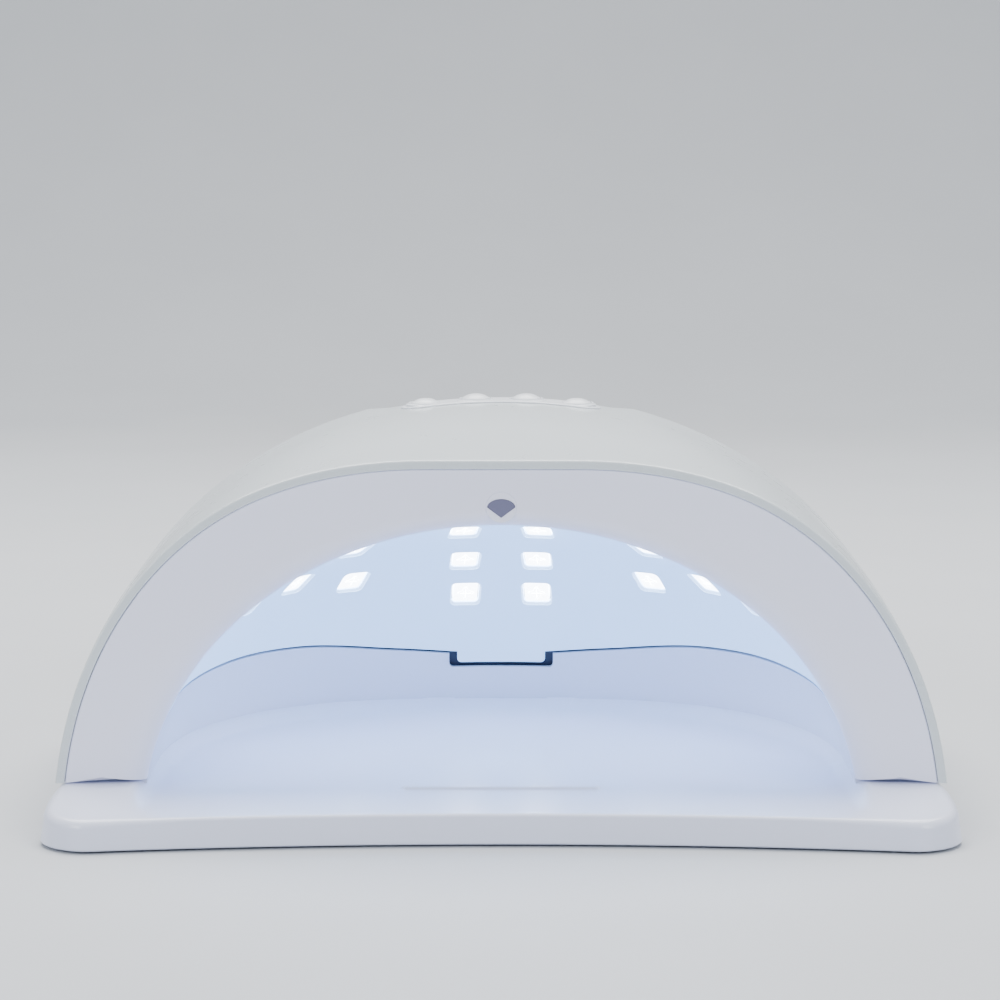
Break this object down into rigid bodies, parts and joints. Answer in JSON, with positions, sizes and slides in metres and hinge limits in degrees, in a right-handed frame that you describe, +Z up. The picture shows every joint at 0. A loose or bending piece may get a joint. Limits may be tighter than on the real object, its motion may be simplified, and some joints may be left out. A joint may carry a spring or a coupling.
{
  "type": "uv curing lamp",
  "caption": "Domed lamp for curing gel coatings on hands: an arched opening with a reflector inside, push buttons on the crown and a lift-off magnetic tray.",
  "frame": {"origin": "on the ground under the middle of the lamp's footprint", "axes": "+X to the right of a user who faces the opening, +Y to the back of the lamp, +Z up"},
  "size_m": [0.2264, 0.2141, 0.1016],
  "materials": {
    "white_shell": "glossy white plastic",
    "pearl_bezel": "satin pearl white plastic with a cool tint",
    "mirror_liner": "bright metallised reflector",
    "inner_white": "plain white plastic",
    "tray_plastic": "glossy pearl white plastic",
    "button_plastic": "glossy white plastic",
    "black_plastic": "black plastic",
    "foot_rubber": "soft grey rubber",
    "magnet_nickel": "nickel plated magnet",
    "steel": "plain steel",
    "lamp_lens": "pale lamp package with a clear lens",
    "white_board": "white coated circuit board",
    "green_board": "green coated circuit board",
    "can_aluminium": "bright aluminium can",
    "ribbon_grey": "grey ribbon cable",
    "contact_metal": "plated contact",
    "sensor_window": "dark smoked window"
  },
  "bodies": {
    "tray": {"base_tray": "tray_plastic", "rubber_foot_front_left": "foot_rubber", "rubber_foot_front_right": "foot_rubber", "rubber_foot_rear_left": "foot_rubber", "rubber_foot_rear_right": "foot_rubber", "tray_magnet_front_left": "magnet_nickel", "tray_magnet_front_right": "magnet_nickel", "tray_magnet_rear_left": "magnet_nickel", "tray_magnet_rear_right": "magnet_nickel"},
    "dome": {"outer_shell": "white_shell", "front_bezel": "pearl_bezel", "reflector_liner": "mirror_liner", "base_frame": "inner_white", "button_panel": "pearl_bezel", "keeper_plate_front_left": "steel", "keeper_plate_front_right": "steel", "keeper_plate_rear_left": "steel", "keeper_plate_rear_right": "steel", "uv_leds_left": "lamp_lens", "uv_leds_middle": "lamp_lens", "uv_leds_right": "lamp_lens", "led_board_left": "white_board", "led_board_middle": "white_board", "led_board_right": "white_board", "control_board": "green_board", "control_chip": "black_plastic", "tact_switch_1": "black_plastic", "tact_switch_2": "black_plastic", "tact_switch_3": "black_plastic", "tact_switch_4": "black_plastic", "driver_board": "green_board", "driver_chip": "black_plastic", "driver_capacitor_1": "can_aluminium", "driver_capacitor_2": "can_aluminium", "driver_inductor": "black_plastic", "ribbon_connector_driver": "inner_white", "ribbon_connector_control": "inner_white", "ribbon_cable": "ribbon_grey", "power_socket_body": "black_plastic", "power_socket_pin": "contact_metal", "sensor_lens": "sensor_window", "sensor_board": "green_board", "frame_screws": "steel", "driver_board_screws": "steel", "control_board_screws": "steel"},
    "timer_button_short": {"timer_button_short": "button_plastic", "switch_plunger_1": "black_plastic"},
    "timer_button_medium": {"timer_button_medium": "button_plastic", "switch_plunger_2": "black_plastic"},
    "timer_button_long": {"timer_button_long": "button_plastic", "switch_plunger_3": "black_plastic"},
    "power_level_button": {"power_level_button": "button_plastic", "switch_plunger_4": "black_plastic"}
  },
  "joints": [
    {"name": "dome_lift", "type": "slide", "parent": "tray", "child": "dome", "axis": [0, 0, 1], "range_m": [0, 0.12]},
    {"name": "timer_press_short", "type": "slide", "parent": "dome", "child": "timer_button_short", "axis": [0, 0, -1], "range_m": [0, 0.0008], "stiffness_N_per_m": 1500},
    {"name": "timer_press_medium", "type": "slide", "parent": "dome", "child": "timer_button_medium", "axis": [0, 0, -1], "range_m": [0, 0.0008], "stiffness_N_per_m": 1500},
    {"name": "timer_press_long", "type": "slide", "parent": "dome", "child": "timer_button_long", "axis": [0, 0, -1], "range_m": [0, 0.0008], "stiffness_N_per_m": 1500},
    {"name": "power_level_press", "type": "slide", "parent": "dome", "child": "power_level_button", "axis": [0, 0, -1], "range_m": [0, 0.0008], "stiffness_N_per_m": 1500}
  ]
}
